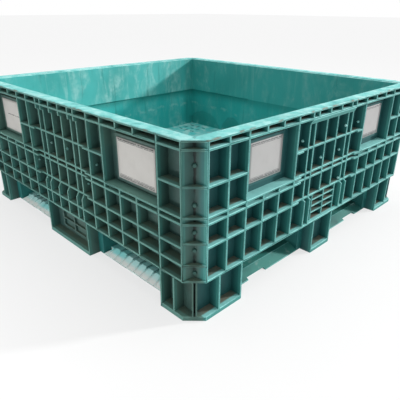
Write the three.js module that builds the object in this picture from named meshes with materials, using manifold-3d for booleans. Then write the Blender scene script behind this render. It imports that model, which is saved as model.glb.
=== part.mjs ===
// Rigid open-top bulk container: one foam-moulded tub with deep egg-crate
// walls, nine feet, bottom runners between the feet and label cards.
// Millimetres, +Z up, the container stands on z = 0 and is centred on x and y.
import * as THREE from 'three';
import { mergeVertices } from 'three/addons/utils/BufferGeometryUtils.js';
import Module from 'manifold-3d';

const wasm = await Module();
wasm.setup();

// Overall size
const LENGTH = 1219;
const WIDTH = 1160;
const HEIGHT = 476;
const CORNER_CHAMFER = 43;

// Wall section
const WALL_TOTAL = 46.5;
const RIB_DEPTH = 34;
const RIB_THICK = 5;
const SHELF_THICK = 6;
const RIM_PLATE = 6;
const RIM_BEAD_WIDTH = 10;
const RIM_BEAD_DROP = 2.5;
const LOWER_RELIEF = 7;
const RELIEF_TOP = 312;
const RELIEF_RUN = 450;

// Shelf heights, taken at the middle of each shelf
const RIM_SHELF = 452.9;
const MID_SHELF = 366.5;
const DOUBLE_UPPER = 290;
const DOUBLE_LOWER = 273.5;
const LOWER_SHELF = 211;
const FRONT_EXTRA_SHELF = 162.5;
const CORNER_SHELF_LIFT = 12;
const CORNER_LIP = 6;

// Column layout of the two wall kinds
const FIRST_RIB = CORNER_CHAMFER + 1.5;
const LONG_NARROW = 31.5;
const LONG_CENTRE_CELL = 56.3;
const LONG_SPLIT = [0.181, 0.376, 0.54, 0.697, 0.848];
const SHORT_NARROW = 28.3;
const SHORT_CENTRE_CELL = 62.6;
const SHORT_SPLIT = [1 / 6, 2 / 6, 3 / 6, 4 / 6, 5 / 6];
const CENTRE_CELLS = 3;

// Middle zone of each wall, stepped back behind the wall plane
const ZONE_STEP = 8;
const ZONE_TOP_DROP = 16;
const LONG_ZONE_HEAD = 3;
const LONG_ZONE_FOOT = 14;
const SHORT_ZONE_FOOT = 4;

// Label recesses and cards
const PAD_RAISE = 6;
const PAD_MARGIN = 9;
const CARD_THICK = 1;
const LONG_CARD = { wide: 160, bottom: 309, top: 423 };
const SHORT_CARD = { wide: 138, bottom: 319, top: 427 };

// Louvre blocks
const LOUVRE_SHELF = 4;
const SHORT_LOUVRE = { wide: 138, rows: 4, setBack: 10 };
const LONG_LOUVRE = { wide: 150, rows: 3, bottom: 30, setBack: 25 };

// Floor and feet
const FLOOR_UNDER = 115;
const FLOOR_THICK = 6;
const FLOOR_TOP = FLOOR_UNDER + FLOOR_THICK;
const FOOT_X = 130;
const FOOT_Y = 179;
const LONG_MID_FOOT = 255;
const SHORT_MID_FOOT = 112;
const CORE_SETBACK = 40;
const CORE_WIDER = 20;
const FOOT_WALL = 6.5;
const FOOT_HOLLOW_MAX = 120;
const FOOT_PLATE = 13;
const FOOT_RIB_LONG = 77;
const FOOT_RIB_SHORT = 91;
const CORNER_FIN_GAP = 9;
const CORNER_FIN_THICK = 4;
const CORNER_FIN_ROOT = 10;
const UNDER_RIB_DROP = 12;
const UNDER_RIB_THICK = 5;

// Floor vents, in square groups above each foot and between them
const VENT_LONG = 30;
const VENT_WIDE = 12;
const VENT_PITCH = 44;
const VENT_INSET = 40;

// Bottom runners between the feet
const RUNNER_WIDE = 110;
const RUNNER_HEIGHT = 22;
const RUNNER_LIP = 3;
const RUNNER_SLOPE = 31;
const RUNNER_WALL = 6;
const RUNNER_GAP = 0.3;
const TONGUE_LONG = 14;
const TONGUE_WIDE = 50;
const TONGUE_LOW = 4;
const TONGUE_HIGH = 15;
const NOTCH_LONG = 80;
const NOTCH_HIGH = 7;
const NOTCH_AT = 0.2;
const END_SLOPE = 24;
const GROOVE_PITCH = 33;
const GROOVE_WIDE = 7;
const GROOVE_DEEP = 4;

const OVERCUT = 5;

// Geometry helpers
function solidOf(geometry) {
  const bare = geometry.index ? geometry.toNonIndexed() : geometry;
  bare.deleteAttribute('normal');
  bare.deleteAttribute('uv');
  const merged = mergeVertices(bare, 1e-4);
  return new wasm.Manifold(new wasm.Mesh({
    numProp: 3,
    vertProperties: new Float32Array(merged.attributes.position.array),
    triVerts: new Uint32Array(merged.index.array),
  }));
}

function geometryOf(solid) {
  const mesh = solid.getMesh();
  const geometry = new THREE.BufferGeometry();
  geometry.setAttribute('position', new THREE.BufferAttribute(new Float32Array(mesh.vertProperties), 3));
  geometry.setIndex(new THREE.BufferAttribute(new Uint32Array(mesh.triVerts), 1));
  const flat = geometry.toNonIndexed();
  flat.computeVertexNormals();
  return flat;
}

function box(x0, x1, y0, y1, z0, z1) {
  const geometry = new THREE.BoxGeometry(x1 - x0, y1 - y0, z1 - z0);
  geometry.translate((x0 + x1) / 2, (y0 + y1) / 2, (z0 + z1) / 2);
  return solidOf(geometry);
}

function prism(points, depth) {
  const shape = new THREE.Shape(points.map(([a, b]) => new THREE.Vector2(a, b)));
  return new THREE.ExtrudeGeometry(shape, { depth, bevelEnabled: false });
}

function joined(solids) {
  return wasm.Manifold.union(solids);
}

// The four walls. Along a wall, u runs from its left end as seen from outside
// and d runs inwards from its outer plane.
function wallFrame(name) {
  const frames = {
    front: [[0, 1, 0], [1, 0, 0], [-LENGTH / 2, -WIDTH / 2, 0]],
    back: [[0, -1, 0], [-1, 0, 0], [LENGTH / 2, WIDTH / 2, 0]],
    right: [[-1, 0, 0], [0, 1, 0], [LENGTH / 2, -WIDTH / 2, 0]],
    left: [[1, 0, 0], [0, -1, 0], [-LENGTH / 2, WIDTH / 2, 0]],
  };
  const [inward, along, origin] = frames[name].map((v) => new THREE.Vector3(...v));
  const matrix = new THREE.Matrix4().makeBasis(inward, new THREE.Vector3(0, 0, 1), along);
  return matrix.setPosition(origin);
}

function wallPrism(name, points, u0, u1) {
  const geometry = prism(points, u1 - u0);
  geometry.translate(0, 0, u0);
  return solidOf(geometry.applyMatrix4(wallFrame(name)));
}

function wallBox(name, u0, u1, d0, d1, z0, z1) {
  return wallPrism(name, [[d0, z0], [d1, z0], [d1, z1], [d0, z1]], u0, u1);
}

// A prism whose section is drawn along the wall and which runs from d0 to d1
function crossPrism(name, points, d0, d1) {
  const frame = wallFrame(name);
  const turn = new THREE.Matrix4().makeBasis(
    new THREE.Vector3(0, 0, 1), new THREE.Vector3(0, 1, 0), new THREE.Vector3(-1, 0, 0),
  );
  const geometry = prism(points, d1 - d0);
  geometry.translate(0, 0, -d1);
  return solidOf(geometry.applyMatrix4(frame.multiply(turn)));
}

function wallKind(name) {
  const long = name === 'front' || name === 'back';
  const span = long ? LENGTH : WIDTH;
  const centre = CENTRE_CELLS * (long ? LONG_CENTRE_CELL : SHORT_CENTRE_CELL);
  const narrow = long ? LONG_NARROW : SHORT_NARROW;
  const outer = span / 2 - centre / 2 - narrow;
  const split = long ? LONG_SPLIT : SHORT_SPLIT;
  const half = [FIRST_RIB, ...split.map((part) => FIRST_RIB + part * (outer - FIRST_RIB)), outer, outer + narrow];
  const middle = [];
  for (let i = 1; i < CENTRE_CELLS; i += 1) {
    middle.push(outer + narrow + (centre * i) / CENTRE_CELLS);
  }
  const lines = [...half, ...middle, ...half.map((u) => span - u).reverse()];
  const recess = long ? [1, 4] : [2, 5];
  return { long, span, lines, recess, card: long ? LONG_CARD : SHORT_CARD };
}

// Outline of the tub seen from above
function footprint() {
  const x = LENGTH / 2;
  const y = WIDTH / 2;
  const c = CORNER_CHAMFER;
  return [
    [-x + c, -y], [x - c, -y], [x, -y + c], [x, y - c],
    [x - c, y], [-x + c, y], [-x, y - c], [-x, -y + c],
  ];
}

function footprintPrism(z0, z1) {
  const geometry = prism(footprint(), z1 - z0);
  geometry.translate(0, 0, z0);
  return solidOf(geometry);
}

// Rows of cells between the shelves, bottom and top of each
function cellRows(long) {
  const t = SHELF_THICK / 2;
  const rows = [
    [RIM_SHELF + t, HEIGHT - RIM_PLATE],
    [MID_SHELF + t, RIM_SHELF - t],
    [DOUBLE_UPPER + t, MID_SHELF - t],
    [DOUBLE_LOWER + t, DOUBLE_UPPER - t],
    [LOWER_SHELF + t, DOUBLE_LOWER - t],
  ];
  if (long) {
    rows.push([FRONT_EXTRA_SHELF + t, LOWER_SHELF - t], [FLOOR_TOP, FRONT_EXTRA_SHELF - t]);
  } else {
    rows.push([FLOOR_TOP, LOWER_SHELF - t]);
  }
  return rows;
}

function wallCuts(name) {
  const kind = wallKind(name);
  const { long, span, lines, recess } = kind;
  const half = RIB_THICK / 2;
  const rows = cellRows(long);
  const columns = lines.length - 1;
  const zoneFirst = recess[1] + 1;
  const cuts = [];
  const inRecess = (i) => {
    const mirrored = Math.min(i, columns - 1 - i);
    return mirrored >= recess[0] && mirrored < recess[1];
  };
  const centreFirst = (columns - CENTRE_CELLS) / 2;
  const inCentre = (i) => i >= centreFirst && i < centreFirst + CENTRE_CELLS;
  rows.forEach(([z0, z1], row) => {
    const louvreRow = !long && row === rows.length - 1;
    for (let i = 0; i < columns; i += 1) {
      const merged = (row === 1 || row === 2) && inRecess(i);
      if (merged || (louvreRow && inCentre(i))) {
        continue;
      }
      const stepped = !long && row === 1 && i >= zoneFirst && i < columns - zoneFirst;
      const top = stepped ? z1 - ZONE_TOP_DROP + SHELF_THICK / 2 : z1;
      cuts.push(wallBox(name, lines[i] + half, lines[i + 1] - half, -OVERCUT, RIB_DEPTH, z0, top));
    }
  });
  // Label recesses around their raised pads
  for (const mirror of [false, true]) {
    const ends = [lines[recess[0]] + half, lines[recess[1]] - half];
    const [u0, u1] = mirror ? ends.map((u) => span - u).reverse() : ends;
    const [z0, z1] = [rows[2][0], rows[1][1]];
    const pad = kind.card.wide / 2 + PAD_MARGIN;
    const mid = (u0 + u1) / 2;
    const padFront = RIB_DEPTH - PAD_RAISE;
    const open = wallBox(name, u0, u1, -OVERCUT, RIB_DEPTH, z0, z1);
    const raised = wallBox(
      name, mid - pad, mid + pad, padFront, RIB_DEPTH + 1,
      kind.card.bottom - PAD_MARGIN, kind.card.top + PAD_MARGIN,
    );
    cuts.push(open.subtract(raised));
  }
  // Stepped-back middle zone
  const zoneStart = (lines[recess[1] + (long ? 1 : 0)] + lines[recess[1] + (long ? 2 : 1)]) / 2;
  const foot = LOWER_SHELF - SHELF_THICK / 2;
  const head = RIM_SHELF - SHELF_THICK / 2;
  const reach = OVERCUT / ZONE_STEP;
  const footSlope = long ? LONG_ZONE_FOOT : SHORT_ZONE_FOOT;
  const headSlope = long ? LONG_ZONE_HEAD : ZONE_TOP_DROP;
  cuts.push(wallPrism(name, [
    [-OVERCUT, foot - footSlope * (1 + reach)],
    [ZONE_STEP, foot],
    [ZONE_STEP, head - ZONE_TOP_DROP],
    [-OVERCUT, head - ZONE_TOP_DROP + headSlope * (1 + reach)],
  ], zoneStart, span - zoneStart));
  // Louvre block in the bottom row of the short walls
  if (!long) {
    const [z0, z1] = rows[rows.length - 1];
    const u0 = lines[centreFirst] + half;
    const u1 = lines[centreFirst + CENTRE_CELLS] - half;
    cuts.push(...louvreCuts(name, u0, u1, z0, z1, z0, SHORT_LOUVRE));
  }
  return cuts;
}

// A wide pocket with a set-back block of small stacked cells in it
function louvreCuts(name, u0, u1, z0, z1, blockBottom, { wide, rows, setBack }) {
  const mid = (u0 + u1) / 2;
  const left = mid - wide / 2;
  const right = mid + wide / 2;
  const cuts = [
    wallBox(name, u0, left, -OVERCUT, RIB_DEPTH, z0, z1),
    wallBox(name, right, u1, -OVERCUT, RIB_DEPTH, z0, z1),
    wallBox(name, left - 1, right + 1, -OVERCUT, setBack, z0, z1),
  ];
  if (blockBottom > z0) {
    cuts.push(wallBox(name, left - 1, right + 1, -OVERCUT, RIB_DEPTH, z0, blockBottom));
  }
  const pitch = (z1 - blockBottom) / rows;
  for (let row = 0; row < rows; row += 1) {
    for (const [a, b] of [[left + RIB_THICK, mid - RIB_THICK / 2], [mid + RIB_THICK / 2, right - RIB_THICK]]) {
      const low = blockBottom + row * pitch + (row || blockBottom > z0 ? LOUVRE_SHELF : 0);
      cuts.push(wallBox(name, a, b, setBack - 1, RIB_DEPTH, low, blockBottom + (row + 1) * pitch));
    }
  }
  return cuts;
}

// Pockets behind the corner chamfers, as wide as the first ribs leave open
// and narrower towards the crease at their back
function cornerCuts() {
  const side = FIRST_RIB - RIB_THICK / 2;
  const plan = [
    [-OVERCUT, -OVERCUT], [side, -OVERCUT], [side, CORNER_LIP], [RIB_DEPTH, RIB_DEPTH],
    [CORNER_LIP, side], [-OVERCUT, side],
  ];
  const t = SHELF_THICK / 2;
  const shelves = [FLOOR_TOP, FRONT_EXTRA_SHELF, LOWER_SHELF + CORNER_SHELF_LIFT, DOUBLE_LOWER,
    DOUBLE_UPPER, MID_SHELF, RIM_SHELF];
  const spans = shelves.map((z, i) => {
    const next = shelves[i + 1];
    return [i ? z + t : z, next ? next - t : HEIGHT - RIM_PLATE];
  });
  spans.push([FOOT_PLATE, FLOOR_UNDER]);
  const cuts = [];
  for (const sx of [-1, 1]) {
    for (const sy of [-1, 1]) {
      const outline = plan.map(([a, b]) => [sx * (LENGTH / 2 - a), sy * (WIDTH / 2 - b)]);
      for (const [z0, z1] of spans) {
        const geometry = prism(outline, z1 - z0);
        cuts.push(solidOf(geometry.translate(0, 0, z0)));
      }
    }
  }
  return cuts;
}

// Two upright fins behind the chamfer of each corner foot, rooted in its core
function cornerFins() {
  const fins = [];
  const reach = RIB_DEPTH + CORNER_FIN_ROOT;
  for (const sx of [-1, 1]) {
    for (const sy of [-1, 1]) {
      for (const side of [-1, 1]) {
        const geometry = new THREE.BoxGeometry(reach, CORNER_FIN_THICK, FLOOR_UNDER);
        geometry.translate(reach / 2 - CORNER_FIN_ROOT, (side * CORNER_FIN_GAP) / 2, FLOOR_UNDER / 2);
        geometry.rotateZ(Math.atan2(sy, sx));
        geometry.translate(sx * (LENGTH / 2 - RIB_DEPTH), sy * (WIDTH / 2 - RIB_DEPTH), 0);
        fins.push(solidOf(geometry));
      }
    }
  }
  return joined(fins).intersect(footprintPrism(0, FLOOR_UNDER));
}

// The feet stand in three rows of three. Each entry gives its outer plan
// and the plan of its wider core.
function footPlans() {
  const bands = (span, end, mid) => [
    { outer: [-span / 2, -span / 2 + end], core: [-span / 2 + CORE_SETBACK, -span / 2 + end + CORE_WIDER] },
    { outer: [-mid / 2, mid / 2], core: [-mid / 2 - CORE_WIDER, mid / 2 + CORE_WIDER] },
    { outer: [span / 2 - end, span / 2], core: [span / 2 - end - CORE_WIDER, span / 2 - CORE_SETBACK] },
  ];
  const plans = [];
  for (const x of bands(LENGTH, FOOT_X, LONG_MID_FOOT)) {
    for (const y of bands(WIDTH, FOOT_Y, SHORT_MID_FOOT)) {
      plans.push({ outer: [...x.outer, ...y.outer], core: [...x.core, ...y.core] });
    }
  }
  return plans;
}

// Divides a span into equal hollows with a rib between neighbours.
// A hollow is only divided where it would be wide both ways.
function splitSpan(low, high) {
  const count = Math.max(2, Math.ceil((high - low) / FOOT_HOLLOW_MAX));
  const size = (high - low - (count - 1) * RIB_THICK) / count;
  return Array.from({ length: count }, (_, i) => {
    const start = low + i * (size + RIB_THICK);
    return [start, start + size];
  });
}

function feet() {
  const plans = footPlans();
  const outer = joined(plans.map(({ outer: p }) => box(...p, 0, FLOOR_UNDER + 1)));
  const cores = joined(plans.map(({ core: p }) => box(...p, 0, FLOOR_UNDER + 1)));
  const hollows = plans.flatMap(({ core: p }) => {
    const [x0, x1, y0, y1] = [p[0] + FOOT_WALL, p[1] - FOOT_WALL, p[2] + FOOT_WALL, p[3] - FOOT_WALL];
    const parts = x1 - x0 > FOOT_HOLLOW_MAX ? splitSpan(y0, y1) : [[y0, y1]];
    return parts.map((y) => box(x0, x1, ...y, -1, FLOOR_UNDER - FOOT_WALL));
  });
  return outer.intersect(footprintPrism(-1, FLOOR_UNDER + 2)).add(cores).subtract(joined(hollows));
}

// Open pockets on the outer sides of the feet. Those next to a corner run
// on into the pocket behind its chamfer.
function footCuts() {
  const cuts = [];
  const half = RIB_THICK / 2;
  for (const name of ['front', 'back', 'right', 'left']) {
    const { long, span } = wallKind(name);
    const end = long ? FOOT_X : FOOT_Y;
    const rib = long ? FOOT_RIB_LONG : FOOT_RIB_SHORT;
    const pockets = [[RIB_DEPTH - 1, rib - half], [rib + half, end - RIB_THICK]];
    for (const [u0, u1] of pockets) {
      cuts.push(wallBox(name, u0, u1, -OVERCUT, RIB_DEPTH, FOOT_PLATE, FLOOR_UNDER));
      cuts.push(wallBox(name, span - u1, span - u0, -OVERCUT, RIB_DEPTH, FOOT_PLATE, FLOOR_UNDER));
    }
    const mid = (long ? LONG_MID_FOOT : SHORT_MID_FOOT) / 2 - RIB_THICK;
    const [m0, m1] = [span / 2 - mid, span / 2 + mid];
    if (long) {
      cuts.push(...louvreCuts(name, m0, m1, FOOT_PLATE, FLOOR_UNDER, LONG_LOUVRE.bottom, LONG_LOUVRE));
    } else {
      cuts.push(wallBox(name, m0, m1, -OVERCUT, RIB_DEPTH, FOOT_PLATE, FLOOR_UNDER));
    }
  }
  return cuts;
}

// Inside of the tub: straight upper walls, a shallow relief low down that
// stops short of the middle of the long walls
function cavity() {
  const x = LENGTH / 2 - WALL_TOTAL;
  const y = WIDTH / 2 - WALL_TOTAL;
  const bead = RIM_BEAD_WIDTH;
  const upper = box(-x, x, -y, y, FLOOR_TOP, HEIGHT + OVERCUT);
  const lower = box(-x - LOWER_RELIEF, x + LOWER_RELIEF, -y, y, FLOOR_TOP, RELIEF_TOP);
  const run = RELIEF_RUN - WALL_TOTAL;
  const ends = [-1, 1].map((side) => {
    const a = side * (x + LOWER_RELIEF);
    const b = side * (x - run);
    return box(Math.min(a, b), Math.max(a, b), -y - LOWER_RELIEF, y + LOWER_RELIEF, FLOOR_TOP, RELIEF_TOP);
  });
  const rim = box(-x - bead, x + bead, -y - bead, y + bead, HEIGHT - RIM_BEAD_DROP, HEIGHT + OVERCUT);
  return joined([upper, lower, ...ends, rim]);
}

function floorVents() {
  const vents = [];
  const xs = [-1, 0, 1].map((side) => side * (LENGTH / 2 - WALL_TOTAL - VENT_INSET - VENT_PITCH));
  const ys = [-1, 0, 1].map((side) => side * (WIDTH / 2 - WALL_TOTAL - VENT_INSET - VENT_PITCH));
  for (const cx of xs) {
    for (const cy of ys) {
      for (const i of [-1, 0, 1]) {
        for (const j of [-1, 0, 1]) {
          const turned = (i + j) % 2 !== 0;
          const hx = (turned ? VENT_WIDE : VENT_LONG) / 2;
          const hy = (turned ? VENT_LONG : VENT_WIDE) / 2;
          const x = cx + i * VENT_PITCH;
          const y = cy + j * VENT_PITCH;
          vents.push(box(x - hx, x + hx, y - hy, y + hy, FLOOR_UNDER - FOOT_WALL - 1, FLOOR_TOP + 1));
        }
      }
    }
  }
  return joined(vents);
}

function underRibs() {
  const ribs = [];
  const half = UNDER_RIB_THICK / 2;
  const z0 = FLOOR_UNDER - UNDER_RIB_DROP;
  const x = LENGTH / 2 - CORE_SETBACK;
  const y = WIDTH / 2 - CORE_SETBACK;
  const openX = [LONG_MID_FOOT / 2, LENGTH / 2 - FOOT_X];
  const openY = [SHORT_MID_FOOT / 2, WIDTH / 2 - FOOT_Y];
  for (const side of [-1, 1]) {
    for (const part of [1 / 3, 2 / 3]) {
      const cx = side * (openX[0] + part * (openX[1] - openX[0]));
      const cy = side * (openY[0] + part * (openY[1] - openY[0]));
      ribs.push(box(cx - half, cx + half, -y, y, z0, FLOOR_UNDER + 1));
      ribs.push(box(-x, x, cy - half, cy + half, z0, FLOOR_UNDER + 1));
    }
  }
  return joined(ribs);
}

// Where each runner lies: wall, start and end between two foot cores, and
// which end is next to a corner foot
function runnerSpans() {
  const spans = [];
  for (const name of ['front', 'back', 'right', 'left']) {
    const { long, span } = wallKind(name);
    const u0 = (long ? FOOT_X : FOOT_Y) + CORE_WIDER;
    const u1 = span / 2 - (long ? LONG_MID_FOOT : SHORT_MID_FOOT) / 2 - CORE_WIDER;
    spans.push({ name, tag: 'a', long, u0, u1, cornerFirst: true });
    spans.push({ name, tag: 'b', long, u0: span - u1, u1: span - u0, cornerFirst: false });
  }
  return spans;
}

function tongueBox(name, u0, u1, grow) {
  const mid = CORE_SETBACK + RUNNER_WIDE / 2;
  const half = TONGUE_WIDE / 2 + grow;
  return wallBox(name, u0, u1, mid - half, mid + half, TONGUE_LOW - grow, TONGUE_HIGH + grow);
}

function runner({ name, long, u0, u1, cornerFirst }) {
  const d0 = CORE_SETBACK;
  const d1 = d0 + RUNNER_WIDE;
  const a = u0 + RUNNER_GAP;
  const b = u1 - RUNNER_GAP;
  let solid = wallPrism(name, [
    [d0, 0], [d1, 0], [d1, RUNNER_LIP], [d1 - RUNNER_SLOPE, RUNNER_HEIGHT],
    [d0 + RUNNER_SLOPE, RUNNER_HEIGHT], [d0, RUNNER_LIP],
  ], a, b);
  if (long) {
    const count = Math.floor((b - a) / GROOVE_PITCH);
    const start = (a + b - (count - 1) * GROOVE_PITCH) / 2;
    const grooves = [];
    for (let i = 0; i < count; i += 1) {
      const u = start + i * GROOVE_PITCH;
      grooves.push(wallPrism(name, [
        [d0 - 1, RUNNER_LIP - 1], [d0 + RUNNER_SLOPE, RUNNER_HEIGHT - GROOVE_DEEP],
        [d1 - RUNNER_SLOPE, RUNNER_HEIGHT - GROOVE_DEEP], [d1 + 1, RUNNER_LIP - 1],
        [d1 + 1, RUNNER_HEIGHT + 1], [d0 - 1, RUNNER_HEIGHT + 1],
      ], u - GROOVE_WIDE / 2, u + GROOVE_WIDE / 2));
    }
    const ends = crossPrism(name, [
      [a, -1], [b, -1], [b, RUNNER_LIP], [b - END_SLOPE, RUNNER_HEIGHT],
      [a + END_SLOPE, RUNNER_HEIGHT], [a, RUNNER_LIP],
    ], d0 - 1, d1 + 1);
    solid = solid.subtract(joined(grooves)).intersect(ends);
  } else {
    const notch = NOTCH_AT * (b - a);
    const n0 = cornerFirst ? a + notch : b - notch - NOTCH_LONG;
    solid = solid.subtract(wallBox(name, n0, n0 + NOTCH_LONG, d0 - 1, d1 + 1, -1, NOTCH_HIGH));
  }
  const inner = RUNNER_SLOPE + 1;
  const ceiling = RUNNER_HEIGHT - GROOVE_DEEP - RUNNER_WALL;
  const ledge = TONGUE_LONG + END_SLOPE;
  return solid
    .subtract(wallBox(name, a + ledge, b - ledge, d0 + inner, d1 - inner, -1, ceiling))
    .add(tongueBox(name, a - TONGUE_LONG, a + END_SLOPE, 0))
    .add(tongueBox(name, b - END_SLOPE, b + TONGUE_LONG, 0));
}

function tongueSlots() {
  return runnerSpans().flatMap(({ name, u0, u1 }) => [
    tongueBox(name, u0 - TONGUE_LONG - 2, u0 + 1, RUNNER_GAP),
    tongueBox(name, u1 - 1, u1 + TONGUE_LONG + 2, RUNNER_GAP),
  ]);
}

function cards() {
  const list = [];
  for (const name of ['front', 'back', 'right', 'left']) {
    const { span, lines, recess, card } = wallKind(name);
    const mid = (lines[recess[0]] + lines[recess[1]]) / 2;
    const back = RIB_DEPTH - PAD_RAISE - RUNNER_GAP;
    [mid, span - mid].forEach((u, i) => {
      list.push({
        name: `label_${name}_${'ab'[i]}`,
        solid: wallBox(name, u - card.wide / 2, u + card.wide / 2, back - CARD_THICK, back, card.bottom, card.top),
      });
    });
  }
  return list;
}

function tub() {
  const shell = footprintPrism(FLOOR_UNDER, HEIGHT).subtract(cavity());
  const walls = ['front', 'back', 'right', 'left'];
  const cuts = [...walls.flatMap(wallCuts), ...cornerCuts(), ...footCuts(), ...tongueSlots()];
  return shell
    .add(feet())
    .add(underRibs())
    .subtract(joined(cuts))
    .subtract(floorVents())
    .add(cornerFins());
}

function addMesh(group, name, solid, color, roughness) {
  const material = new THREE.MeshStandardMaterial({ color, roughness, metalness: 0 });
  const mesh = new THREE.Mesh(geometryOf(solid), material);
  mesh.name = name;
  group.add(mesh);
}

const group = new THREE.Group();
group.name = 'bulk_container';
addMesh(group, 'tub', tub(), '#1f9e9a', 0.62);
for (const span of runnerSpans()) {
  addMesh(group, `runner_${span.name}_${span.tag}`, runner(span), '#2fb0b2', 0.58);
}
for (const { name, solid } of cards()) {
  addMesh(group, name, solid, '#dcdcd6', 0.7);
}

export default group;
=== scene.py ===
"""Looks of a rigid open-top bulk container with deep egg-crate walls.

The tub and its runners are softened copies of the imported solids, with rounded
and worn edges. The label cards, ejector pins and gate marks are modelled here.
"""

import logging
import math
from dataclasses import dataclass
from enum import Enum
from typing import Sequence, Union

import bmesh
import bpy
from mathutils import Matrix, Vector, noise


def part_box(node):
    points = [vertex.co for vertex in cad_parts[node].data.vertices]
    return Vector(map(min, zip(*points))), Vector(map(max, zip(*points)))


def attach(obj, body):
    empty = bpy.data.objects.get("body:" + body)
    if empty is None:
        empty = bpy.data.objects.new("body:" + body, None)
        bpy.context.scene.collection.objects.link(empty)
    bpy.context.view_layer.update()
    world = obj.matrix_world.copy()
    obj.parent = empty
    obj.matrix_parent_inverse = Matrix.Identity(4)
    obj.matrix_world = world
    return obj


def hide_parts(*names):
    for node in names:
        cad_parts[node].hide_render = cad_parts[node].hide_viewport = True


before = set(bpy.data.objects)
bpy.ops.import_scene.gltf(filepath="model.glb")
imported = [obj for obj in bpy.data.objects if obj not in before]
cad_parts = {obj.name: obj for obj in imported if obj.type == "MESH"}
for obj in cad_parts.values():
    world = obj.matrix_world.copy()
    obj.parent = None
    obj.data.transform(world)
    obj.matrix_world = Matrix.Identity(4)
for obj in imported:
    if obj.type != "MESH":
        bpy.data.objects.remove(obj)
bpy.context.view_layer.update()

LOG = logging.getLogger("bulk_container")
MM = 0.001
BODY = "root"

# Distances in metres within which places count as one
WELD = 0.02 * MM
CUT_REACH = 0.03 * MM
ON_PLANE = 0.1 * MM

# Grid of the cuts, in millimetres
CUT_GRID = 0.05

Colour = tuple[float, float, float, float]
Point = tuple[float, float, float]


def paint(red: int, green: int, blue: int) -> Colour:
    """Linear colour of a display colour given from 0 to 255.

    Args:
        red: Red value.
        green: Green value.
        blue: Blue value.

    Returns:
        The colour as a shader socket takes it.
    """
    def linear(value: int) -> float:
        """One channel made linear."""
        share = value / 255
        return share / 12.92 if share <= 0.04045 else ((share + 0.055) / 1.055) ** 2.4

    return linear(red), linear(green), linear(blue), 1.0


# Sizes of the tub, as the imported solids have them

TUB_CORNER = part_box("tub")[1]


@dataclass(frozen=True)
class TubSizes:
    """Main sizes of the tub in metres, in the frame's axes."""

    half_length: float = TUB_CORNER[0]
    half_width: float = TUB_CORNER[1]
    height: float = TUB_CORNER[2]
    cell_depth: float = 34.0 * MM
    face_depth: float = 9.0 * MM
    floor_top: float = 121.0 * MM
    floor_under: float = 115.0 * MM
    step_height: float = 312.0 * MM


TUB = TubSizes()


# Shader arithmetic

Number = Union[float, "Signal"]


class Signal:
    """An output socket that takes part in plain arithmetic."""

    def __init__(self, graph: "ShaderGraph", socket: bpy.types.NodeSocket) -> None:
        """Keeps the socket and the graph it belongs to."""
        self.graph = graph
        self.socket = socket

    def __add__(self, other: Number) -> "Signal":
        """Sum of two values."""
        return self.graph.math("ADD", self, other)

    def __radd__(self, other: Number) -> "Signal":
        """Sum with a number on the left."""
        return self.graph.math("ADD", other, self)

    def __sub__(self, other: Number) -> "Signal":
        """Difference of two values."""
        return self.graph.math("SUBTRACT", self, other)

    def __rsub__(self, other: Number) -> "Signal":
        """Difference with a number on the left."""
        return self.graph.math("SUBTRACT", other, self)

    def __mul__(self, other: Number) -> "Signal":
        """Product of two values."""
        return self.graph.math("MULTIPLY", self, other)

    def __rmul__(self, other: Number) -> "Signal":
        """Product with a number on the left."""
        return self.graph.math("MULTIPLY", other, self)

    def __truediv__(self, other: Number) -> "Signal":
        """Quotient of two values."""
        return self.graph.math("DIVIDE", self, other)

    def __abs__(self) -> "Signal":
        """Value without its sign."""
        return self.graph.math("ABSOLUTE", self)

    def least(self, other: Number) -> "Signal":
        """Smaller of two values."""
        return self.graph.math("MINIMUM", self, other)

    def most(self, other: Number) -> "Signal":
        """Larger of two values."""
        return self.graph.math("MAXIMUM", self, other)

    def rise(self, low: float, high: float) -> "Signal":
        """Smooth step from 0 at low to 1 at high.

        Args:
            low: Value where the step starts.
            high: Value where the step is complete.

        Returns:
            The step, between 0 and 1.
        """
        settings = {"interpolation_type": "SMOOTHSTEP"}
        sockets = {"Value": self, "From Min": low, "From Max": high}
        return self.graph.signal("ShaderNodeMapRange", settings, sockets)

    def fall(self, low: float, high: float) -> "Signal":
        """Smooth step from 1 at low to 0 at high."""
        return 1.0 - self.rise(low, high)

    def near(self, centre: float, reach: float, soft: float) -> "Signal":
        """1 within reach of a centre, fading out over the soft width."""
        return abs(self - centre).fall(reach, reach + soft)


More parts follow.
